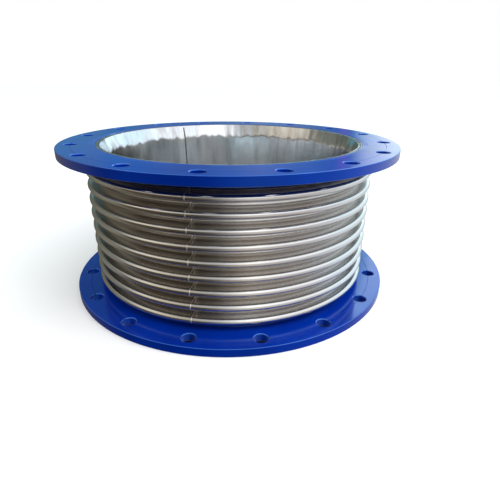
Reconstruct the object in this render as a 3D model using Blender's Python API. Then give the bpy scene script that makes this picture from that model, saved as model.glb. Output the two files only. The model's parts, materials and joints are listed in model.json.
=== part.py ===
"""Flanged metal bellows expansion joint, DN 450, standing on its lower flange.

The origin is the centre of the bottom face and +Z runs along the flow axis. The bellows is a
stack of turned rings. A crest ring and a root ring meet half way up each side wall, with a small
radial gap, so that each convolution can close, open and lean.
"""

import math

import bmesh
import bpy

# Flanges: DN 450 drilling, 16 bolts on a 550 mm circle
FLANGE_OUTER_RADIUS = 0.2975
FLANGE_THICKNESS = 0.014
FLANGE_BORE_RADIUS = 0.2325
FLANGE_EDGE_CHAMFER = 0.001
BOLT_CIRCLE_RADIUS = 0.275
BOLT_HOLE_RADIUS = 0.011
BOLT_HOLE_COUNT = 16
TOP_FIRST_HOLE = math.radians(-98.4)
BOTTOM_FIRST_HOLE = math.radians(-103.7)
OVERALL_LENGTH = 0.262
WELD_GROOVE = 0.004

# Bellows
CREST_RADIUS = 0.2567
ROOT_RADIUS = 0.2320
WALL = 0.0012
PITCH = 0.0240
CREST_COUNT = 9
FIRST_CREST_HEIGHT = 0.0295
CREST_ARC = 0.0056
ROOT_ARC = PITCH / 2 - CREST_ARC
CUFF_SETBACK = 0.0010

# Flow liner, welded at the top flange only: a flared mouth and a long taper below it
LINER_TOP_RADIUS = 0.2305
LINER_THROAT_RADIUS = 0.2234
LINER_THROAT_HEIGHT = 0.2380
LINER_BOTTOM_RADIUS = 0.2110
LINER_BOTTOM_HEIGHT = 0.0440
LINER_WALL = 0.0015
LINER_SEAM_AZIMUTH = math.radians(118.125)
LINER_SEAM_WIDTH = 0.0045
LINER_SEAM_THICKNESS = 0.0008

BACK_WELD_LEG = 0.0030
GAP = 0.0003
RING_STEPS = 32
FLANGE_STEPS = 64
HOLE_STEPS = 12

TOP_FACE = OVERALL_LENGTH
TOP_FLANGE_BACK = TOP_FACE - FLANGE_THICKNESS
MID_WALL_RADIUS = (CREST_RADIUS - CREST_ARC + ROOT_RADIUS + ROOT_ARC) / 2


def clear_scene():
    for old in list(bpy.data.objects):
        bpy.data.objects.remove(old, do_unlink=True)


def surface(name, colour, metallic, roughness):
    made = bpy.data.materials.new(name)
    made.use_nodes = True
    shader = made.node_tree.nodes["Principled BSDF"]
    shader.inputs["Base Color"].default_value = (*colour, 1.0)
    shader.inputs["Metallic"].default_value = metallic
    shader.inputs["Roughness"].default_value = roughness
    return made


def blue_enamel(name):
    return surface(name, (0.004, 0.045, 0.36), 0.0, 0.22)


def bright_steel(name):
    return surface(name, (0.60, 0.58, 0.55), 1.0, 0.25)


def polished_steel(name):
    return surface(name, (0.70, 0.69, 0.67), 1.0, 0.12)


def weld_metal(name):
    return surface(name, (0.42, 0.40, 0.38), 1.0, 0.45)


def place(name, bm, material, height=0.0):
    """Link the mesh as an object whose origin is on the flow axis at this height."""
    bmesh.ops.translate(bm, verts=bm.verts, vec=(0.0, 0.0, -height))
    bmesh.ops.recalc_face_normals(bm, faces=bm.faces)
    mesh = bpy.data.meshes.new(name)
    bm.to_mesh(mesh)
    bm.free()
    mesh.materials.append(material)
    mesh.shade_smooth()
    mesh.set_sharp_from_angle(angle=math.radians(35))
    made = bpy.data.objects.new(name, mesh)
    made.location = (0.0, 0.0, height)
    bpy.context.scene.collection.objects.link(made)
    return made


def turned(name, profile, material, height=0.0, steps=RING_STEPS):
    """Spin a closed (radius, height) outline about the flow axis."""
    bm = bmesh.new()
    corners = [bm.verts.new((radius, 0.0, z)) for radius, z in profile]
    edges = [
        bm.edges.new((corners[i], corners[(i + 1) % len(corners)]))
        for i in range(len(corners))
    ]
    bmesh.ops.spin(
        bm,
        geom=corners + edges,
        cent=(0.0, 0.0, 0.0),
        axis=(0.0, 0.0, 1.0),
        angle=math.tau,
        steps=steps,
        use_merge=True,
    )
    bmesh.ops.remove_doubles(bm, verts=bm.verts, dist=1e-6)
    return place(name, bm, material, height)


def drill(flange, first_hole, low, high):
    """Cut the bolt holes with one mesh of straight cutters, longer than the plate."""
    bm = bmesh.new()
    for index in range(BOLT_HOLE_COUNT):
        angle = first_hole + index * math.tau / BOLT_HOLE_COUNT
        rod = bmesh.ops.create_cone(
            bm,
            cap_ends=True,
            segments=HOLE_STEPS,
            radius1=BOLT_HOLE_RADIUS,
            radius2=BOLT_HOLE_RADIUS,
            depth=high - low,
        )
        bmesh.ops.translate(
            bm,
            verts=rod["verts"],
            vec=(
                BOLT_CIRCLE_RADIUS * math.cos(angle),
                BOLT_CIRCLE_RADIUS * math.sin(angle),
                (low + high) / 2,
            ),
        )
    cutter = place(flange.name + "_drill", bm, flange.data.materials[0])
    cutter.hide_render = True
    cutter.display_type = "WIRE"
    cut = flange.modifiers.new("bolt holes", "BOOLEAN")
    cut.operation = "DIFFERENCE"
    cut.solver = "EXACT"
    cut.object = cutter
    return cutter


def mirrored(profile, mid_height):
    return [(radius, 2 * mid_height - z) for radius, z in profile]


def flange_profile():
    """The lower flange: its outer face is at z = 0, with the groove for the face weld."""
    outer, bore = FLANGE_OUTER_RADIUS, FLANGE_BORE_RADIUS
    chamfer, thick = FLANGE_EDGE_CHAMFER, FLANGE_THICKNESS
    return [
        (bore + WELD_GROOVE, 0.0),
        (outer - chamfer, 0.0),
        (outer, chamfer),
        (outer, thick - chamfer),
        (outer - chamfer, thick),
        (bore, thick),
        (bore, WELD_GROOVE),
    ]


def face_weld_profile():
    """A triangle that fills the groove between the flange face and the cuff."""
    inside = ROOT_RADIUS + GAP
    toe = FLANGE_BORE_RADIUS + WELD_GROOVE - GAP - GAP * math.sqrt(2)
    depth = WELD_GROOVE + (FLANGE_BORE_RADIUS - inside) - GAP * math.sqrt(2) - 0.0001
    return [(inside, GAP), (toe, GAP), (inside, depth)]


def back_weld_profile(leg):
    """A fillet between the back of the flange and the outside of the cuff."""
    inside, base = ROOT_RADIUS + GAP, FLANGE_THICKNESS + GAP
    return [(inside, base), (inside + leg, base), (inside, base + leg)]


def crest_profile(mid):
    """One crest, from side wall to side wall. The outer skin comes first."""
    edge = MID_WALL_RADIUS + GAP / 2
    centre = CREST_RADIUS - CREST_ARC
    inner = CREST_ARC - WALL
    outline = [(edge, mid - CREST_ARC)]
    for degrees in (-60, 0, 60):
        angle = math.radians(degrees)
        outline.append(
            (centre + CREST_ARC * math.cos(angle), mid + CREST_ARC * math.sin(angle))
        )
    outline.append((edge, mid + CREST_ARC))
    outline.append((edge, mid + inner))
    for degrees in (45, -45):
        angle = math.radians(degrees)
        outline.append(
            (centre + inner * math.cos(angle), mid + inner * math.sin(angle))
        )
    outline.append((edge, mid - inner))
    return outline


def root_half_profile(mid, sign):
    """Half of a root, from its mid plane to the side wall. The sign is +1 for the upper half."""
    edge = MID_WALL_RADIUS - GAP / 2
    centre = ROOT_RADIUS + ROOT_ARC
    outer = ROOT_ARC + WALL
    lean = math.radians(60)
    return [
        (ROOT_RADIUS, mid),
        (centre - ROOT_ARC * math.cos(lean), mid + sign * ROOT_ARC * math.sin(lean)),
        (edge, mid + sign * ROOT_ARC),
        (edge, mid + sign * outer),
        (centre - outer * math.cos(lean), mid + sign * outer * math.sin(lean)),
        (ROOT_RADIUS - WALL, mid),
    ]


def root_profile(mid):
    """A whole root: the two halves joined at the mid plane."""
    upper = root_half_profile(mid, 1)
    lower = root_half_profile(mid, -1)
    return upper + lower[1:-1][::-1]


def cuff_profile(mid):
    """The lower cuff: the straight tube through the flange, up to the middle of the first root."""
    inside, end = ROOT_RADIUS - WALL, mid - GAP
    return [
        (ROOT_RADIUS, CUFF_SETBACK),
        (ROOT_RADIUS, end),
        (inside, end),
        (inside, CUFF_SETBACK),
    ]


def liner_corners():
    """The liner's outer skin from its mouth down."""
    return [
        (LINER_TOP_RADIUS, TOP_FACE - CUFF_SETBACK),
        (LINER_THROAT_RADIUS, LINER_THROAT_HEIGHT),
        (LINER_BOTTOM_RADIUS, LINER_BOTTOM_HEIGHT),
    ]


def liner_profile():
    outer = liner_corners()
    inner = [(radius - LINER_WALL, z) for radius, z in outer]
    return outer + inner[::-1]


def liner_radius(height):
    """The radius of the liner's outer skin at this height."""
    top, throat, low = liner_corners()
    above, below = (top, throat) if height > throat[1] else (throat, low)
    part = (above[1] - height) / (above[1] - below[1])
    return above[0] + part * (below[0] - above[0])


def liner_seam(name, material):
    """A flat bead down the inside of the liner, bent at its throat."""
    flat = math.cos(math.pi / RING_STEPS)
    half = LINER_SEAM_WIDTH / 2
    thin = LINER_SEAM_THICKNESS
    bm = bmesh.new()
    rings = []
    for z in (TOP_FACE - 0.004, LINER_THROAT_HEIGHT, LINER_BOTTOM_HEIGHT + 0.002):
        radius = (liner_radius(z) - LINER_WALL - GAP) * flat - GAP
        corners = [
            (radius, -half, z),
            (radius, half, z),
            (radius - thin, half * 0.6, z),
            (radius - thin, -half * 0.6, z),
        ]
        rings.append([bm.verts.new(corner) for corner in corners])
    bm.faces.new(rings[0])
    bm.faces.new(rings[-1][::-1])
    for upper, lower in zip(rings, rings[1:]):
        for i in range(4):
            j = (i + 1) % 4
            bm.faces.new((upper[i], lower[i], lower[j], upper[j]))
    made = place(name, bm, material)
    made.rotation_euler = (0.0, 0.0, LINER_SEAM_AZIMUTH)
    return made


def crest_height(index):
    return FIRST_CREST_HEIGHT + (index - 1) * PITCH


def hinge_height(index):
    """The middle of the side wall above this crest, where the stack bends."""
    return crest_height(index) + CREST_ARC - WALL / 2


def root_height(index):
    return crest_height(index) + PITCH / 2


def hang_on_pivot(pieces):
    """Parent the upper end's pieces to an empty on the uppermost hinge."""
    pivot = bpy.data.objects.new("top_end_pivot", None)
    pivot.empty_display_size = 0.05
    pivot.location = (0.0, 0.0, hinge_height(CREST_COUNT))
    bpy.context.scene.collection.objects.link(pivot)
    for piece in pieces:
        piece.parent = pivot
        piece.location.z -= pivot.location.z


def build_lower_end():
    bottom = turned(
        "bottom_flange", flange_profile(), blue_enamel("bottom flange enamel"), 0.0, FLANGE_STEPS
    )
    drill(bottom, BOTTOM_FIRST_HOLE, -0.01, FLANGE_THICKNESS + 0.01)
    turned("lower_face_weld", face_weld_profile(), weld_metal("lower face weld metal"))
    turned("lower_back_weld", back_weld_profile(BACK_WELD_LEG), weld_metal("lower back weld metal"))
    root = root_height(0)
    turned("bellows_lower_cuff", cuff_profile(root), bright_steel("lower cuff steel"))
    turned("bellows_lower_root", root_half_profile(root, 1), bright_steel("lower root steel"))


def build_upper_end():
    """The same end turned over, with the liner."""
    middle = OVERALL_LENGTH / 2
    top = turned(
        "top_flange",
        mirrored(flange_profile(), middle),
        blue_enamel("top flange enamel"),
        0.0,
        FLANGE_STEPS,
    )
    holes = drill(top, TOP_FIRST_HOLE, TOP_FLANGE_BACK - 0.01, TOP_FACE + 0.01)
    face_weld = turned(
        "upper_face_weld",
        mirrored(face_weld_profile(), middle),
        weld_metal("upper face weld metal"),
    )
    back_weld = turned(
        "upper_back_weld",
        mirrored(back_weld_profile(BACK_WELD_LEG), middle),
        weld_metal("upper back weld metal"),
    )
    root_height_from_top = OVERALL_LENGTH - root_height(CREST_COUNT)
    cuff = turned(
        "bellows_upper_cuff",
        mirrored(cuff_profile(root_height_from_top), middle),
        bright_steel("upper cuff steel"),
    )
    root = turned(
        "bellows_upper_root",
        root_half_profile(root_height(CREST_COUNT), -1),
        bright_steel("upper root steel"),
    )
    liner = turned("inner_sleeve", liner_profile(), polished_steel("liner steel"))
    seam = liner_seam("sleeve_seam_weld", weld_metal("liner seam metal"))
    hang_on_pivot((top, holes, face_weld, back_weld, cuff, root, liner, seam))


def build_rings():
    for index in range(1, CREST_COUNT + 1):
        mid = crest_height(index)
        turned(
            f"bellows_crest_{index}",
            crest_profile(mid),
            bright_steel(f"crest {index} steel"),
            mid,
        )
    for index in range(1, CREST_COUNT):
        turned(
            f"bellows_root_{index}",
            root_profile(root_height(index)),
            bright_steel(f"root {index} steel"),
            hinge_height(index),
        )


clear_scene()
build_lower_end()
build_rings()
build_upper_end()
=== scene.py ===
"""Looks for the flanged metal bellows expansion joint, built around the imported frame."""

import json
import math

import bmesh
import bpy
from mathutils import Matrix, Vector

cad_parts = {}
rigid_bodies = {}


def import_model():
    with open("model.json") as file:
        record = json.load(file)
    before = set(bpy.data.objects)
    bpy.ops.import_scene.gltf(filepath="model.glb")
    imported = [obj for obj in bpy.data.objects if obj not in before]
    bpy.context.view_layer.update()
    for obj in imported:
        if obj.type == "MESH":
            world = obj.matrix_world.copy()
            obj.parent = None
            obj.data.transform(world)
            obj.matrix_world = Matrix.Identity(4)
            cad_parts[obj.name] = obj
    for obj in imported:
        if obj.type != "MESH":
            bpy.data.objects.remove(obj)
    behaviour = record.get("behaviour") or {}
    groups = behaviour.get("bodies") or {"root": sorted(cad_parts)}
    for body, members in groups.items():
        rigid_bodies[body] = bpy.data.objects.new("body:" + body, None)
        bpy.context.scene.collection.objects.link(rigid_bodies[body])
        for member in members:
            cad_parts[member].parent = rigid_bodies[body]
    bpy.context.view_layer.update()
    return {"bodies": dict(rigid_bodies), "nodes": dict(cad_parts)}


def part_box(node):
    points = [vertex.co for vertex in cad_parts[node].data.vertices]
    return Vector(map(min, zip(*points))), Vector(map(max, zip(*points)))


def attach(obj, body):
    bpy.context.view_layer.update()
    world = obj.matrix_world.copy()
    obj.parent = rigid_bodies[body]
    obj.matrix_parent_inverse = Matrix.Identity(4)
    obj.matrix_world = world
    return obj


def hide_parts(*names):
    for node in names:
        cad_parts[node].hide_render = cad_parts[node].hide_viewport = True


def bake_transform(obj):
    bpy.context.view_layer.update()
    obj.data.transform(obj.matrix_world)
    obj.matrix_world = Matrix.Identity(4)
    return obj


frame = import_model()
NODES = frame["nodes"]


def radii(node):
    """Smallest and largest distance of a node's vertices from the flow axis."""
    found = [math.hypot(v.co.x, v.co.y) for v in NODES[node].data.vertices]
    return min(found), max(found)


def mid_height(node):
    """Height of the middle of a node's box."""
    low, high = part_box(node)
    return (low.z + high.z) / 2


# Sizes that no box in the frame gives, the same as the part's own
WALL = 0.0012
BOLT_R = 0.275
HOLE_R = 0.011
HOLES = 16
TOP_FIRST_HOLE = math.radians(-98.4)
BOTTOM_FIRST_HOLE = math.radians(-103.7)

# Sizes read from the frame
WAVES = sum(1 for name in NODES if name.startswith("bellows_crest_"))
TOP_LOW, TOP_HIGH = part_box("top_flange")
BOTTOM_LOW, BOTTOM_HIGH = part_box("bottom_flange")
FLANGE_R = radii("top_flange")[1]
BORE_R = radii("top_flange")[0]
CREST_R = radii("bellows_crest_1")[1]
ROOT_R = radii("bellows_root_1")[0] + WALL
CREST_Z = [mid_height(f"bellows_crest_{k}") for k in range(1, WAVES + 1)]
PITCH = CREST_Z[1] - CREST_Z[0]
CREST_ARC = (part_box("bellows_crest_1")[1].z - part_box("bellows_crest_1")[0].z) / 2
ROOT_ARC = PITCH / 2 - CREST_ARC
CUFF_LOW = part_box("bellows_lower_cuff")[0].z
CUFF_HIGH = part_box("bellows_upper_cuff")[1].z

# The long weld seam of the bellows tube
SEAM = math.radians(-104.1)
SEAM_HALF = math.radians(0.24)
SEAM_METAL_HALF = math.radians(0.20)
SEAM_RISE = 0.00038
SEAM_STATIONS = (0.0, 0.08, 0.16, 0.24, 0.40, 0.80)

# Fineness of the turned shapes
AROUND = 144
FINE_AROUND = 288
CLOSEST_AZIMUTHS = 0.00125
LAST_STRIP = 6e-5
LAST_STRIP_LEAN = 2e-7


# ---------------------------------------------------------------- mesh helpers
def azimuths(extra_at=None):
    """Evenly spaced azimuths, with a few more across the weld seam."""
    found = [i * math.tau / AROUND - math.pi for i in range(AROUND)]
    if extra_at is not None:
        for degrees in SEAM_STATIONS:
            for sign in (-1, 1):
                found.append(extra_at + sign * math.radians(degrees))
    found = sorted(set(round(a, 6) for a in found))
    return [a for i, a in enumerate(found) if i == 0 or a - found[i - 1] > CLOSEST_AZIMUTHS]


def evenly(count):
    """This many azimuths, evenly spaced."""
    return [i * math.tau / count for i in range(count)]


def off_the_seam(azimuth):
    """Angle between an azimuth and the bellows tube's long seam."""
    return abs((azimuth - SEAM + math.pi) % math.tau - math.pi)


def unevenness(azimuth, z):
    """The slight waviness of formed sheet, as (radial, upward) offsets in metres."""
    radial = 0.00016 * math.sin(3 * azimuth + 95 * z) + 0.00010 * math.sin(7 * azimuth - 160 * z + 1.1)
    upward = 0.00020 * math.sin(2 * azimuth + 61 * z + 0.4) + 0.00012 * math.sin(5 * azimuth + 143 * z)
    return radial, upward


def bead(azimuth):
    """Height of the rolled weld bead along the tube's long seam."""
    off = off_the_seam(azimuth)
    return 0.0 if off >= SEAM_HALF else SEAM_RISE * (1 - (off / SEAM_HALF) ** 2)


def mesh_object(name, bm, material, sharp=35.0):
    """An object from a closed bmesh, shaded smooth but for edges sharper than this many degrees."""
    bmesh.ops.recalc_face_normals(bm, faces=bm.faces)
    mesh = bpy.data.meshes.new(name)
    bm.to_mesh(mesh)
    bm.free()
    mesh.materials.append(material)
    mesh.shade_smooth()
    mesh.set_sharp_from_angle(angle=math.radians(sharp))
    made = bpy.data.objects.new(name, mesh)
    bpy.context.scene.collection.objects.link(made)
    return made


def turned(name, rings, material, around, sharp=35.0):
    """Turn a closed outline. rings(azimuth) gives its (radius, z) points at that azimuth."""
    bm = bmesh.new()
    columns = []
    for azimuth in around:
        cos, sin = math.cos(azimuth), math.sin(azimuth)
        columns.append([bm.verts.new((r * cos, r * sin, z)) for r, z in rings(azimuth)])
    count = len(columns[0])
    for i, this in enumerate(columns):
        other = columns[(i + 1) % len(columns)]
        for j in range(count):
            k = (j + 1) % count
            bm.faces.new((this[j], other[j], other[k], this[k]))
    return mesh_object(name, bm, material, sharp)


def arc(centre_r, centre_z, radius, start, end, steps):
    """Points and outward normals along an arc, angles in degrees from +r towards +z."""
    found = []
    for i in range(steps + 1):
        angle = math.radians(start + (end - start) * i / steps)
        found.append(
            (
                centre_r + radius * math.cos(angle),
                centre_z + radius * math.sin(angle),
                math.cos(angle),
                math.sin(angle),
            )
        )
    return found


def half_wave(root_z, crest_z, steps=11):
    """Outer skin from a root's mid plane to a crest's top: (r, z, normal r, normal z)."""
    sign = 1 if crest_z > root_z else -1
    root_c, crest_c = ROOT_R + ROOT_ARC, CREST_R - CREST_ARC
    skin = []
    for r, z, nr, nz in arc(root_c, root_z, ROOT_ARC, 180, 90, steps):
        skin.append((r, root_z + sign * (z - root_z), -nr, -sign * nz))
    wall_z = root_z + sign * ROOT_ARC
    for share in (0.08, 0.5, 0.92):
        skin.append((root_c + (crest_c - root_c) * share, wall_z, 0.0, -sign))
    for r, z, nr, nz in arc(crest_c, crest_z, CREST_ARC, -90, 0, steps):
        skin.append((r, crest_z + sign * (z - crest_z), nr, sign * nz))
    # a hair-thin last strip at each end keeps the shading true where two pieces meet
    first, last = skin[0], skin[-1]
    near_first = (first[0] + LAST_STRIP_LEAN, first[1] + sign * LAST_STRIP, first[2], first[3])
    near_last = (last[0] - LAST_STRIP_LEAN, last[1] - sign * LAST_STRIP, last[2], last[3])
    return [first, near_first] + skin[1:-1] + [near_last, last]


def skin_rings(skin):
    """The closed outline of a wall of even thickness under this outer skin."""

    def rings(azimuth):
        rise = bead(azimuth)
        outline = []
        for r, z, nr, nz in skin:
            dr, dz = unevenness(azimuth, z)
            outline.append((r + dr + nr * rise, z + dz + nz * rise))
        for r, z, nr, nz in reversed(skin):
            dr, dz = unevenness(azimuth, z)
            outline.append((r + dr - nr * WALL, z + dz - nz * WALL))
        return outline

    return rings


def rounded(outline, steps=4):
    """Round the corners of a (r, z, corner radius) outline."""
    found = []
    count = len(outline)
    for i, (r, z, radius) in enumerate(outline):
        if radius == 0.0:
            found.append((r, z))
            continue
        here = Vector((r, z))
        before = (Vector(outline[i - 1][:2]) - here).normalized()
        after = (Vector(outline[(i + 1) % count][:2]) - here).normalized()
        reach = radius / math.tan(before.angle(after) / 2)
        a, b = here + before * reach, here + after * reach
        for step in range(steps + 1):
            t = step / steps
            point = a * (1 - t) ** 2 + here * 2 * t * (1 - t) + b * t * t
            found.append((point.x, point.y))
    return found


# ---------------------------------------------------------------- node helpers
class Nodes:
    """A node tree with short ways to add nodes, each handing back its output socket."""

    def __init__(self, tree):
        self.tree = tree

    def add(self, kind, **values):
        node = self.tree.nodes.new(kind)
        for key, value in values.items():
            setattr(node, key, value)
        return node

    def link(self, source, target):
        self.tree.links.new(source, target)

    def feed(self, socket, value):
        """Give a socket a constant or another node's output."""
        if isinstance(value, bpy.types.NodeSocket):
            self.link(value, socket)
        else:
            socket.default_value = value

    def maths(self, operation, a, b):
        node = self.add("ShaderNodeMath", operation=operation)
        self.feed(node.inputs[0], a)
        self.feed(node.inputs[1], b)
        return node.outputs[0]

    def position(self):
        return self.add("ShaderNodeTexCoord").outputs["Object"]

    def split(self, vector):
        node = self.add("ShaderNodeSeparateXYZ")
        self.link(vector, node.inputs[0])
        return node.outputs

    def vector(self, x, y, z):
        node = self.add("ShaderNodeCombineXYZ")
        for socket, value in zip(node.inputs, (x, y, z)):
            self.feed(socket, value)
        return node.outputs[0]

    def reach(self, x, y):
        """Distance from the axis."""
        node = self.add("ShaderNodeMath", operation="SQRT")
        squares = self.maths("ADD", self.maths("MULTIPLY", x, x), self.maths("MULTIPLY", y, y))
        self.link(squares, node.inputs[0])
        return node.outputs[0]

    def around_axis(self, along, across):
        """Coordinates that run slowly around the axis and quickly across it."""
        x, y, z = self.split(self.position())
        radius = self.reach(x, y)
        unit_x, unit_y = self.maths("DIVIDE", x, radius), self.maths("DIVIDE", y, radius)
        outward = self.maths("MULTIPLY", radius, across * 0.7)
        depth = self.maths("ADD", self.maths("MULTIPLY", z, across), outward)
        slow_x, slow_y = self.maths("MULTIPLY", unit_x, along), self.maths("MULTIPLY", unit_y, along)
        return self.vector(slow_x, slow_y, depth)

    def noise(self, vector, scale, detail, rough=0.5, distortion=0.0):
        node = self.add("ShaderNodeTexNoise")
        node.inputs["Scale"].default_value = scale
        node.inputs["Detail"].default_value = detail
        node.inputs["Roughness"].default_value = rough
        node.inputs["Distortion"].default_value = distortion
        self.link(vector, node.inputs["Vector"])
        return node.outputs["Fac"]

    def ramp(self, factor, stops):
        node = self.add("ShaderNodeValToRGB")
        elements = node.color_ramp.elements
        while len(elements) < len(stops):
            elements.new(0.5)
        for element, (place, colour) in zip(elements, stops):
            element.position = place
            element.color = (*colour, 1.0)
        self.link(factor, node.inputs[0])
        return node.outputs["Color"]

    def spread(self, factor, low, high, out_low, out_high):
        node = self.add("ShaderNodeMapRange")
        for key, value in (("From Min", low), ("From Max", high), ("To Min", out_low), ("To Max", out_high)):
            node.inputs[key].default_value = value
        self.link(factor, node.inputs["Value"])
        return node.outputs["Result"]

    def bump(self, height, strength, distance, before=None):
        node = self.add("ShaderNodeBump")
        node.inputs["Strength"].default_value = strength
        node.inputs["Distance"].default_value = distance
        self.link(height, node.inputs["Height"])
        if before is not None:
            self.link(before, node.inputs["Normal"])
        return node.outputs["Normal"]

    def scaled(self, colour, factor):
        node = self.add("ShaderNodeVectorMath", operation="SCALE")
        self.link(colour, node.inputs[0])
        self.link(factor, node.inputs["Scale"])
        return node.outputs[0]

    def tinted(self, colour, tint):
        node = self.add("ShaderNodeVectorMath", operation="MULTIPLY")
        self.link(colour, node.inputs[0])
        self.link(tint, node.inputs[1])
        return node.outputs[0]

    def mix(self, factor, a, b):
        node = self.add("ShaderNodeMix", data_type="RGBA")
        self.link(factor, node.inputs["Factor"])
        self.link(a, node.inputs["A"])
        self.link(b, node.inputs["B"])
        return node.outputs["Result"]


class Finish(Nodes):
    """A material and its main shader, whose sockets take a constant or another node's output."""

    def __init__(self, name):
        self.material = bpy.data.materials.new(name)
        self.material.use_nodes = True
        super().__init__(self.material.node_tree)
        self.shader = self.tree.nodes["Principled BSDF"]

    def set(self, **values):
        for key, value in values.items():
            name = key.replace("_", " ").title().replace("Ior", "IOR")
            self.feed(self.shader.inputs[name], value)


# ---------------------------------------------------------------- materials
def enamel_material(name, pale, shine):
    """Sprayed deep blue enamel: gloss, faint orange peel. pale lightens the blue for a painted highlight on
    edges.
    """
    n = Finish(name)
    place = n.position()
    patches = n.noise(place, 9.0, 3.0, 0.5)
    gloss = n.noise(place, 22.0, 2.0)
    peel = n.bump(n.noise(place, 260.0, 1.0), 0.05, 0.0003)
    n.set(
        # pale above zero lightens the blue: a painted highlight where this copy is used
        base_color=n.ramp(
            patches,
            (
                (0.30, (0.0003 + pale * 0.2, 0.020 + pale * 0.6, 0.265 + pale)),
                (0.52, (0.0005 + pale * 0.3, 0.026 + pale * 0.7, 0.325 + pale)),
                (0.75, (0.0010 + pale * 0.6, 0.036 + pale * 1.0, 0.390 + pale)),
            ),
        ),
        roughness=n.spread(gloss, 0.3, 0.7, 0.09, 0.15),
        normal=n.bump(n.noise(place, 30.0, 1.0), 0.10, 0.0010, peel),
        specular_ior_level=shine,
        specular_tint=(0.15, 0.55, 1.0, 1.0),
    )
    return n.material


def bellows_material():
    """Cold-formed stainless: bright, with drawing lines around it and a faint warm and cool drift."""
    n = Finish("formed_stainless")
    lines = n.noise(n.around_axis(2.0, 420.0), 1.0, 2.0, 0.5)
    drift = n.noise(n.position(), 7.0, 3.0, 0.5)
    n.set(
        base_color=n.ramp(
            drift, ((0.30, (0.60, 0.57, 0.53)), (0.55, (0.66, 0.64, 0.615)), (0.75, (0.67, 0.67, 0.67)))
        ),
        roughness=n.spread(lines, 0.3, 0.7, 0.19, 0.25),
        metallic=1.0,
        normal=n.bump(lines, 0.02, 0.0002),
    )
    return n.material


def liner_material():
    """Rolled stainless sheet, polished, in long soft upright streaks of lighter and darker metal."""
    n = Finish("polished_liner")
    x, y, z = n.split(n.position())
    across_x, across_y = n.maths("MULTIPLY", x, 26.0), n.maths("MULTIPLY", y, 26.0)
    upright = n.vector(across_x, across_y, n.maths("MULTIPLY", z, 4.0))
    ripples = n.noise(upright, 1.0, 3.0, 0.55, 0.3)
    streaks = n.noise(upright, 2.2, 3.0, 0.6)
    smears = n.noise(n.position(), 14.0, 4.0, 0.6)
    n.set(
        base_color=n.ramp(
            streaks, ((0.32, (0.52, 0.505, 0.49)), (0.50, (0.68, 0.685, 0.695)), (0.70, (0.79, 0.80, 0.82)))
        ),
        roughness=n.spread(smears, 0.3, 0.7, 0.14, 0.26),
        metallic=1.0,
        normal=n.bump(ripples, 0.35, 0.0014),
    )
    return n.material


def weld_material(name, dark, light):
    """A laid weld bead: overlapping ripples with a straw and brown heat tint."""
    n = Finish(name)
    place = n.position()
    tint = n.noise(place, 60.0, 3.0, 0.6)
    n.set(
        base_color=n.ramp(tint, ((0.30, dark), (0.70, light))),
        roughness=n.spread(n.noise(place, 120.0, 2.0), 0.3, 0.7, 0.30, 0.50),
        metallic=1.0,
        normal=n.bump(n.noise(place, 340.0, 2.0), 0.40, 0.0006),
    )
    return n.material


ENAMEL = enamel_material("blue_enamel", 0.0, 0.5)
# A lighter enamel for edges, hole edges and scribed rings: painted highlight
EDGE_HIGHLIGHT = enamel_material("blue_enamel_edge_highlight", 0.15, 0.5)
# A duller copy of the enamel, with less reflection, for the lower flange's rim: painted shade
SHADED_RIM = enamel_material("blue_enamel_rim_shaded", 0.0, 0.12)
STEEL = bellows_material()
LINER = liner_material()
WELD = weld_material("weld_metal", (0.16, 0.12, 0.085), (0.46, 0.42, 0.37))
FACE_WELD = weld_material("face_weld_metal", (0.20, 0.145, 0.10), (0.44, 0.39, 0.34))
SEAM_METAL = weld_material("tube_seam_weld", (0.50, 0.47, 0.43), (0.72, 0.69, 0.65))
TINTED = weld_material("liner_seam_weld", (0.10, 0.072, 0.055), (0.26, 0.21, 0.17))


# ---------------------------------------------------------------- bellows
SEAM_AROUND = azimuths(SEAM)


def weld_the_seam(made):
    """Give the faces of the long seam their own weld metal."""
    mesh = made.data
    mesh.materials.append(SEAM_METAL)
    for face in mesh.polygons:
        if off_the_seam(math.atan2(face.center.y, face.center.x)) < SEAM_METAL_HALF:
            face.material_index = 1


def build_bellows():
    """Each wave is two half waves, one below its crest and one above."""
    for k in range(1, WAVES + 1):
        crest_z = CREST_Z[k - 1]
        low, high = crest_z - PITCH / 2, crest_z + PITCH / 2
        below = "bottom_end" if k == 1 else f"root_{k - 1}"
        below = below if below in frame["bodies"] else f"crest_{k - 1}"
        above = "top_end" if k == WAVES else f"root_{k}"
        here = f"crest_{k}"
        lower = turned(f"wave_{k}_lower", skin_rings(half_wave(low, crest_z)), STEEL, SEAM_AROUND)
        weld_the_seam(lower)
        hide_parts(f"bellows_crest_{k}")
        if k == 1:
            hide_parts("bellows_lower_root")
        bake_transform(lower)
        upper = turned(f"wave_{k}_upper", skin_rings(half_wave(high, crest_z)), STEEL, SEAM_AROUND)
        weld_the_seam(upper)
        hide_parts(f"bellows_root_{k}" if k < WAVES else "bellows_upper_root")
        if above in frame["bodies"]:
            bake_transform(upper)
        else:
            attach(upper, here)


def build_cuff(name, node, body, root_z, end_z):
    """The straight end of the tube, from the last root through the flange."""
    sign = 1 if end_z > root_z else -1
    skin = [(ROOT_R, root_z, 1.0, 0.0), (ROOT_R, root_z + sign * LAST_STRIP, 1.0, 0.0)]
    for i in range(1, 7):
        skin.append((ROOT_R, root_z + (end_z - root_z) * i / 6, 1.0, 0.0))
    made = turned(name, skin_rings(skin), STEEL, SEAM_AROUND)
    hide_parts(node)
    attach(made, body)


# ---------------------------------------------------------------- flanges
HOLE_STEPS = 40
UPRIGHT, LEVEL = 0.15, 0.985


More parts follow.
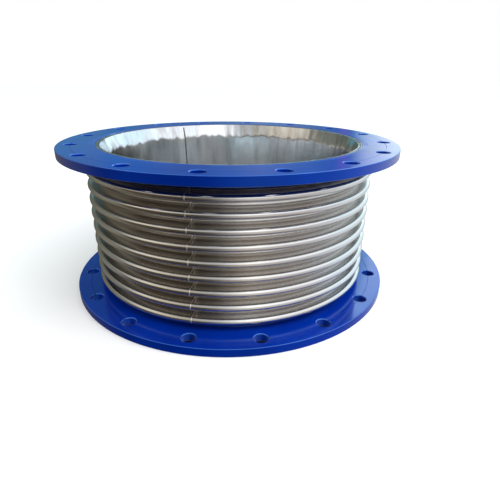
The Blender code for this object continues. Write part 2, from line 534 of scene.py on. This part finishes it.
def flange_outline(face, back, groove_on_back):
    """Outline of a flange whose outer face is at z = face, scribed on the side that faces up."""
    sign = 1 if back > face else -1
    weld = 0.004
    edge = 0.0013
    scribe_depth = 0.0004
    scribes = [(BOLT_R, 0.00040)]
    if not groove_on_back:
        scribes = [(0.2392, 0.00045), (0.2436, 0.00040)] + scribes
    marked = back if groove_on_back else face
    inward = -sign if groove_on_back else sign
    grooves = []
    for radius, half in scribes:
        grooves.append((radius - half, marked, 0.0))
        grooves.append((radius, marked + inward * scribe_depth, 0.0))
        grooves.append((radius + half, marked, 0.0))
    corners = [(BORE_R + weld, face, 0.0)]
    if not groove_on_back:
        corners += grooves
    corners += [(FLANGE_R, face, edge), (FLANGE_R, back, edge)]
    if groove_on_back:
        corners += grooves[::-1]
    corners += [(BORE_R, back, edge), (BORE_R, face + sign * weld, 0.0)]
    return rounded(corners)


def hole_outline(face, back):
    """Side of one bolt hole's cutter, flared at both faces for a broken edge."""
    low, high = min(face, back), max(face, back)
    flare, reach = 0.0012, 0.004
    return [
        (HOLE_R + flare + reach, low - reach),
        (HOLE_R, low + flare),
        (HOLE_R, high - flare),
        (HOLE_R + flare + reach, high + reach),
    ]


def hole_cutters(face, back, first):
    """One mesh of all the bolt hole cutters."""
    bm = bmesh.new()
    for index in range(HOLES):
        angle = first + index * math.tau / HOLES
        centre = Vector((BOLT_R * math.cos(angle), BOLT_R * math.sin(angle), 0.0))
        rings = []
        for radius, z in hole_outline(face, back):
            turn = [Vector((radius * math.cos(a), radius * math.sin(a), z)) for a in evenly(HOLE_STEPS)]
            rings.append([bm.verts.new(centre + point) for point in turn])
        for one, two in zip(rings, rings[1:]):
            for i in range(HOLE_STEPS):
                j = (i + 1) % HOLE_STEPS
                bm.faces.new((one[i], one[j], two[j], two[i]))
        bm.faces.new(rings[0][::-1])
        bm.faces.new(rings[-1])
    return mesh_object("hole_cutter", bm, ENAMEL)


def drill(made, cutter):
    """Cut the holes, then shade the flat faces flat and the round ones round."""
    cut = made.modifiers.new("holes", "BOOLEAN")
    cut.operation = "DIFFERENCE"
    cut.solver = "EXACT"
    cut.object = cutter
    bpy.context.view_layer.update()
    graph = bpy.context.evaluated_depsgraph_get()
    mesh = bpy.data.meshes.new_from_object(made.evaluated_get(graph))
    made.modifiers.clear()
    made.data = mesh
    bpy.data.objects.remove(cutter, do_unlink=True)
    mesh.shade_smooth()
    mesh.set_sharp_from_angle(angle=math.radians(33))
    weighted = made.modifiers.new("flat faces", "WEIGHTED_NORMAL")
    weighted.keep_sharp = True
    weighted.weight = 100


def paint_edge_highlights_and_rim(mesh, rim):
    """Painted highlights in a lighter enamel on the rim's edge, the hole edges and the scribed rings round
    the bore; the upright rim takes the rim enamel.
    """
    mesh.materials.append(EDGE_HIGHLIGHT)
    mesh.materials.append(rim)
    for polygon in mesh.polygons:
        reach = math.hypot(polygon.center.x, polygon.center.y)
        lean = abs(polygon.normal.z)
        slanted = UPRIGHT < lean < LEVEL
        bolt_scribe = abs(reach - BOLT_R) < 0.0006
        # Slanted faces off the bolt scribe take the lighter enamel: painted highlight
        if slanted and reach > BORE_R + 0.002 and not bolt_scribe:
            polygon.material_index = 1
        # Upright rim faces take the rim enamel, on the lower flange a duller copy: painted shade
        if lean < UPRIGHT and reach > FLANGE_R - 0.0005:
            polygon.material_index = 2


def build_flange(name, node, body, face, back, groove_on_back, first, rim):
    """A flange plate: turned, drilled and painted, with painted highlights on its edges and the given enamel
    on its rim, a duller copy on the lower flange: painted shade.
    """
    outline = flange_outline(face, back, groove_on_back)
    made = turned(name, lambda azimuth: outline, ENAMEL, azimuths())
    drill(made, hole_cutters(face, back, first))
    paint_edge_highlights_and_rim(made.data, rim)
    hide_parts(node)
    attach(made, body)


def build_face_weld(name, node, body, face, inward):
    """The ring that welds the cuff to the flange: crowned, rippled and straw coloured by the heat."""
    low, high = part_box(node)
    inside, outside = radii(node)
    root = low.z if inward < 0 else high.z
    dip = 0.0007

    def rings(azimuth):
        ripple = 0.00012 * math.sin(azimuth * 150) + 0.00008 * math.sin(azimuth * 67)
        crown = 0.0004 - ripple
        points = [(inside, face + inward * dip)]
        for i in range(1, 6):
            bulge = math.sin(math.pi * i / 6)
            radius = inside + (outside + 0.0004 - inside) * i / 6
            points.append((radius, face + inward * (dip * (1 - bulge) + crown * bulge)))
        points.append((outside + 0.0002, face + inward * 0.0006))
        points.append((inside, root))
        return points

    made = turned(name, rings, FACE_WELD, evenly(FINE_AROUND), 50.0)
    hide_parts(node)
    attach(made, body)


def build_back_weld(name, node, body, away):
    """The fillet weld on the cuff behind a flange, with laid ripples."""
    low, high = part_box(node)
    inside, outside = radii(node)
    leg = high.z - low.z
    base = low.z if away > 0 else high.z
    hollow = 1.25

    def rings(azimuth):
        ripple = 1 + 0.10 * math.sin(azimuth * 210) + 0.06 * math.sin(azimuth * 83 + 1.0)
        points = [(inside, base)]
        for i in range(7):
            angle = math.radians(90 * i / 6)
            bulge = 0.986 + 0.010 * math.sin(2 * angle) * ripple
            across = (outside - inside) * math.cos(angle) ** hollow * bulge
            up = leg * math.sin(angle) ** hollow * bulge
            points.append((inside + across, base + away * up))
        return points

    made = turned(name, rings, WELD, evenly(FINE_AROUND), 50.0)
    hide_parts(node)
    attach(made, body)


# ---------------------------------------------------------------- liner
def liner_corners():
    """The CAD liner's six (r, z) corners, from the top down and from the inside out."""
    corners = {
        (round(math.hypot(v.co.x, v.co.y), 5), round(v.co.z, 5)) for v in NODES["inner_sleeve"].data.vertices
    }
    return sorted(corners, key=lambda corner: (-corner[1], corner[0]))


def liner_profile():
    """The liner's outline: a rolled lip, a flared mouth that eases into the long taper."""
    top_in, top_out, bend_in, bend_out, low_in, low_out = liner_corners()
    bend, lip, station = 0.030, 0.0006, 0.012
    corners = [
        (*top_out, lip),
        (*bend_out, bend),
        (*low_out, lip),
        (*low_in, lip),
        (*bend_in, bend),
        (*top_in, lip),
    ]
    outline = []
    curve = rounded(corners, 6)
    for i, (r, z) in enumerate(curve):
        outline.append((r, z))
        next_r, next_z = curve[(i + 1) % len(curve)]
        parts = int(abs(next_z - z) / station)
        for part in range(1, parts):
            share = part / parts
            outline.append((r + (next_r - r) * share, z + (next_z - z) * share))
    return outline


def liner_wave(azimuth, z, top):
    """Rolled sheet is never quite round: long upright ripples that die out at the welded lip."""
    fade = 0.05
    depth = min(1.0, max(0.0, (top - z) / fade))
    wave = 0.00026 * math.sin(3 * azimuth + 7 * z)
    wave += 0.00015 * math.sin(8 * azimuth - 11 * z + 2.0)
    wave += 0.00007 * math.sin(19 * azimuth + 9 * z + 0.7)
    return wave * depth


def throat_shift(azimuth, z, throat):
    """The flare ends in hammered scallops, so the bend rises and falls round the mouth."""
    scallop = 0.5 * math.sin(41 * azimuth + 1.0) + 0.35 * math.sin(67 * azimuth + 2.3)
    scallop += 0.30 * math.sin(97 * azimuth) + 0.5 * math.sin(11 * azimuth + 0.5)
    height, spread = 0.0032, 0.012
    reach = (z - throat) / spread
    return height * scallop * math.exp(-reach * reach)


def build_liner():
    """The liner, turned with its ripples and the scalloped bend below its mouth."""
    outline = liner_profile()
    top = max(z for r, z in outline)
    throat = liner_corners()[2][1]

    def rings(azimuth):
        return [(r + liner_wave(azimuth, z, top), z + throat_shift(azimuth, z, throat)) for r, z in outline]

    made = turned("liner", rings, LINER, evenly(FINE_AROUND))
    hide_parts("inner_sleeve")
    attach(made, "top_end")


def build_liner_seam():
    """A flat crowned bead down the inside of the liner, from its mouth to its lower end."""
    places = [v.co for v in NODES["sleeve_seam_weld"].data.vertices]
    middle = sum(places, Vector((0, 0, 0)))
    azimuth = math.atan2(middle.y, middle.x)
    low, high = min(place.z for place in places), max(place.z for place in places)
    outline = liner_profile()
    top = max(z for r, z in outline)
    lowest = outline.index(min(outline, key=lambda point: point[1]))
    inner = sorted((z, r) for r, z in outline[lowest + 1 :])

    def wall(z):
        for (z0, r0), (z1, r1) in zip(inner, inner[1:]):
            if z0 <= z <= z1:
                return r0 + (r1 - r0) * (z - z0) / (z1 - z0)
        return inner[-1][1]

    bm = bmesh.new()
    rows = []
    steps, across = 120, 6
    for i in range(steps + 1):
        z = low + (high - low) * i / steps
        skin = wall(z) + liner_wave(azimuth, z, top)
        fade = min(1.0, (high - z) / 0.02 + 0.15)
        half = 0.0015 + 0.00022 * math.sin(i * 1.7) + 0.0001 * math.sin(i * 0.6)
        row = []
        for j in range(across + 1):
            t = 2 * j / across - 1
            crown = 0.0005 * fade * (1 - t * t) * (1 + 0.2 * math.sin(i * 2.1))
            angle = azimuth + t * half / skin
            radius = skin + 0.00005 - crown
            row.append(bm.verts.new((radius * math.cos(angle), radius * math.sin(angle), z)))
        for t in (1, -1):
            angle = azimuth + t * half * 0.9 / skin
            radius = skin + 0.0004
            row.append(bm.verts.new((radius * math.cos(angle), radius * math.sin(angle), z)))
        rows.append(row)
    count = len(rows[0])
    for one, two in zip(rows, rows[1:]):
        for j in range(count):
            k = (j + 1) % count
            bm.faces.new((one[j], one[k], two[k], two[j]))
    bm.faces.new(rows[0][::-1])
    bm.faces.new(rows[-1])
    made = mesh_object("liner_seam", bm, TINTED, 50.0)
    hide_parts("sleeve_seam_weld")
    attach(made, "top_end")


# ---------------------------------------------------------------- stage
def build_floor():
    """A pale floor with painted shade: a deep blue ring only under the flange plate, where its holes look
    down.

    The metal mirrors the room instead of the floor, as it would over a dark workshop floor.
    """
    bm = bmesh.new()
    bmesh.ops.create_grid(bm, x_segments=1, y_segments=1, size=14.0)
    n = Finish("pale_floor")
    x, y = n.split(n.position())[:2]
    pale, shade = (0.93, 0.93, 0.93), (0.004, 0.010, 0.045)
    # under is the floor's colour: pale, with painted shade in a deep blue ring under the flange plate
    under = n.ramp(
        n.spread(n.reach(x, y), 0.0, 1.0, 0.0, 1.0),
        (
            (BORE_R + 0.002, pale),
            (BORE_R + 0.004, shade),
            (FLANGE_R - 0.010, shade),
            (FLANGE_R - 0.006, pale),
        ),
    )
    n.set(base_color=under, roughness=0.9, specular_ior_level=0.1)
    # The floor glows a little to read whiter, its ring of painted shade with it
    n.set(emission_color=under, emission_strength=0.14)
    floor = mesh_object("floor", bm, n.material)
    floor.location.z = BOTTOM_LOW.z - 0.0003
    floor.visible_glossy = False
    floor.visible_diffuse = False


def area_light(name, place, size, power, colour):
    """A soft square light aimed at the joint. The metal doesn't mirror it."""
    data = bpy.data.lights.new(name, "AREA")
    data.shape = "RECTANGLE"
    data.size = size
    data.size_y = size
    data.energy = power
    data.color = colour
    light = bpy.data.objects.new(name, data)
    light.location = place
    aim = Vector((0.0, 0.0, 0.15)) - Vector(place)
    light.rotation_euler = aim.to_track_quat("-Z", "Y").to_euler()
    light.visible_glossy = False
    bpy.context.scene.collection.objects.link(light)


def yard_in_front(n, side, z):
    """The half of the yard behind the camera: dark buildings at the left, lit ground at the right."""
    low = n.ramp(
        side,
        (
            (0.00, (0.046, 0.037, 0.027)),
            (0.10, (0.050, 0.041, 0.031)),
            (0.27, (0.036, 0.029, 0.022)),
            (0.39, (0.060, 0.055, 0.050)),
            (0.44, (0.165, 0.155, 0.146)),
            (0.62, (0.45, 0.42, 0.39)),
            (0.82, (0.37, 0.35, 0.345)),
            (0.93, (0.40, 0.40, 0.42)),
            (1.00, (0.40, 0.44, 0.51)),
        ),
    )
    high = n.ramp(
        side,
        (
            (0.00, (0.52, 0.48, 0.41)),
            (0.12, (0.50, 0.46, 0.39)),
            (0.27, (0.28, 0.275, 0.245)),
            (0.44, (0.30, 0.32, 0.34)),
            (0.60, (0.90, 0.91, 0.92)),
            (0.80, (0.64, 0.68, 0.73)),
            (1.00, (0.70, 0.74, 0.79)),
        ),
    )
    near_ground = n.spread(z, -0.80, -0.50, 0.35, 1.0)
    buildings = n.spread(z, -0.02, 0.08, 1.0, 0.6)
    low = n.scaled(low, n.maths("MULTIPLY", near_ground, buildings))
    lean = n.maths("MULTIPLY", n.maths("SUBTRACT", 1.0, side), 0.10)
    rise = n.spread(n.maths("SUBTRACT", z, lean), 0.04, 0.30, 0.0, 1.0)
    return n.mix(rise, low, high)


def roofs_and_sky(n, way, side, z):
    """Far roofs against the sky, patched by cloud, with a slanted edge where the bright sky starts."""
    roofs = n.ramp(
        side,
        (
            (0.00, (0.155, 0.145, 0.120)),
            (0.16, (0.095, 0.088, 0.068)),
            (0.27, (0.075, 0.080, 0.065)),
            (0.30, (0.09, 0.19, 0.195)),
            (0.38, (0.065, 0.14, 0.18)),
            (0.46, (0.065, 0.12, 0.165)),
            (0.5375, (0.13, 0.205, 0.25)),
            (0.60, (0.075, 0.14, 0.19)),
            (0.624, (0.05, 0.10, 0.17)),
            (0.632, (0.16, 0.09, 0.24)),
            (0.640, (0.06, 0.12, 0.18)),
            (0.655, (0.40, 0.50, 0.56)),
            (0.69, (0.85, 0.98, 1.00)),
            (0.80, (0.62, 0.70, 0.75)),
            (1.00, (0.60, 0.68, 0.73)),
        ),
    )
    patchy = n.ramp(n.noise(way, 9.0, 2.0), ((0.42, (0.70, 0.95, 1.00)), (0.56, (1.00, 0.97, 1.00))))
    past_roofs = n.maths("ADD", side, n.maths("MULTIPLY", z, 0.19))
    open_sky = n.ramp(
        past_roofs,
        (
            (0.600, (0.0, 0.0, 0.0)),
            (0.680, (0.20, 0.20, 0.20)),
            (0.735, (0.35, 0.35, 0.35)),
            (0.742, (1.0, 1.0, 1.0)),
            (0.765, (0.8, 0.8, 0.8)),
            (0.810, (0.0, 0.0, 0.0)),
        ),
    )
    glare = n.maths("MULTIPLY", open_sky, n.spread(z, 0.27, 0.36, 0.0, 1.0))
    bright_sky = n.ramp(
        past_roofs,
        (
            (0.60, (0.20, 0.90, 0.75)),
            (0.735, (0.40, 0.95, 0.80)),
            (0.742, (0.80, 0.95, 1.00)),
        ),
    )
    bright_sky = n.scaled(bright_sky, n.spread(z, 0.42, 0.56, 1.65, 2.5))
    return n.mix(glare, n.tinted(roofs, patchy), bright_sky)


def yard_behind(n, way, side, z):
    """The half of the yard in front of the camera: ground, then roofs, then open sky."""
    ground = n.ramp(
        side,
        (
            (0.00, (0.150, 0.138, 0.112)),
            (0.16, (0.090, 0.080, 0.060)),
            (0.35, (0.055, 0.050, 0.040)),
            (0.60, (0.10, 0.10, 0.10)),
            (0.75, (0.32, 0.335, 0.36)),
            (1.00, (0.50, 0.52, 0.57)),
        ),
    )
    high = n.ramp(
        side,
        (
            (0.00, (0.45, 0.48, 0.51)),
            (0.50, (0.46, 0.49, 0.52)),
            (1.00, (0.66, 0.69, 0.72)),
        ),
    )
    low = n.mix(n.spread(z, -0.05, 0.06, 0.0, 1.0), ground, roofs_and_sky(n, way, side, z))
    return n.mix(n.spread(z, 0.50, 0.75, 0.0, 1.0), low, high)


def build_world():
    """White to the eye. What the metal mirrors is a yard: open sky, bright to the right, dark left."""
    world = bpy.data.worlds.new("studio")
    bpy.context.scene.world = world
    world.use_nodes = True
    n = Nodes(world.node_tree)
    n.tree.nodes.clear()
    way = n.add("ShaderNodeTexCoord").outputs["Generated"]
    x, y, z = n.split(way)
    side = n.maths("ADD", n.maths("MULTIPLY", x, 0.5), 0.5)
    behind = n.spread(y, -0.1, 0.15, 0.0, 1.0)
    room = n.add("ShaderNodeBackground")
    room.inputs["Strength"].default_value = 2.0
    n.link(n.mix(behind, yard_in_front(n, side, z), yard_behind(n, way, side, z)), room.inputs["Color"])
    white = n.add("ShaderNodeBackground")
    white.inputs["Color"].default_value = (1.0, 1.0, 1.0, 1.0)
    pick = n.add("ShaderNodeMixShader")
    out = n.add("ShaderNodeOutputWorld")
    n.link(n.add("ShaderNodeLightPath").outputs["Is Camera Ray"], pick.inputs[0])
    n.link(room.outputs[0], pick.inputs[1])
    n.link(white.outputs[0], pick.inputs[2])
    n.link(pick.outputs[0], out.inputs["Surface"])


def build_camera():
    """A close camera, a little above the upper flange, aimed down and a touch to the right."""
    yaw, pitch, roll = 0.0495, 0.4115, 0.0100
    away, above = 2.564 * FLANGE_R, 0.3655 * FLANGE_R
    forward = Vector((math.sin(yaw) * math.cos(pitch), math.cos(yaw) * math.cos(pitch), -math.sin(pitch)))
    right = Vector((math.cos(yaw), -math.sin(yaw), 0.0))
    up = right.cross(forward)
    side = right * math.cos(roll) + up * math.sin(roll)
    top = up * math.cos(roll) - right * math.sin(roll)
    data = bpy.data.cameras.new("camera")
    data.sensor_width = 36.0
    data.lens = 28.95
    data.clip_start = 0.01
    camera = bpy.data.objects.new("camera", data)
    camera.matrix_world = Matrix(
        (
            (side.x, top.x, -forward.x, 0.0),
            (side.y, top.y, -forward.y, -away),
            (side.z, top.z, -forward.z, TOP_HIGH.z + above),
            (0.0, 0.0, 0.0, 1.0),
        )
    )
    bpy.context.scene.collection.objects.link(camera)
    bpy.context.scene.camera = camera


build_camera()
build_bellows()
build_cuff("lower_cuff", "bellows_lower_cuff", "bottom_end", CREST_Z[0] - PITCH / 2, CUFF_LOW)
build_cuff("upper_cuff", "bellows_upper_cuff", "top_end", CREST_Z[-1] + PITCH / 2, CUFF_HIGH)
build_flange(
    "upper_flange", "top_flange", "top_end", TOP_HIGH.z, TOP_LOW.z, False, TOP_FIRST_HOLE, ENAMEL
)
# The lower flange's rim takes the duller enamel: painted shade
build_flange(
    "lower_flange", "bottom_flange", "bottom_end", BOTTOM_LOW.z, BOTTOM_HIGH.z, True, BOTTOM_FIRST_HOLE, SHADED_RIM
)
build_face_weld("upper_ring_weld", "upper_face_weld", "top_end", TOP_HIGH.z, -1)
build_face_weld("lower_ring_weld", "lower_face_weld", "bottom_end", BOTTOM_LOW.z, 1)
build_back_weld("upper_fillet", "upper_back_weld", "top_end", -1)
build_back_weld("lower_fillet", "lower_back_weld", "bottom_end", 1)
build_liner()
build_liner_seam()
build_floor()
build_world()
area_light("key", (1.5, -0.9, 1.9), 1.4, 26.0, (1.0, 1.0, 1.0))
area_light("fill", (-1.7, -1.0, 1.5), 1.2, 7.0, (1.0, 0.96, 0.88))
bpy.context.scene.view_settings.view_transform = "Standard"
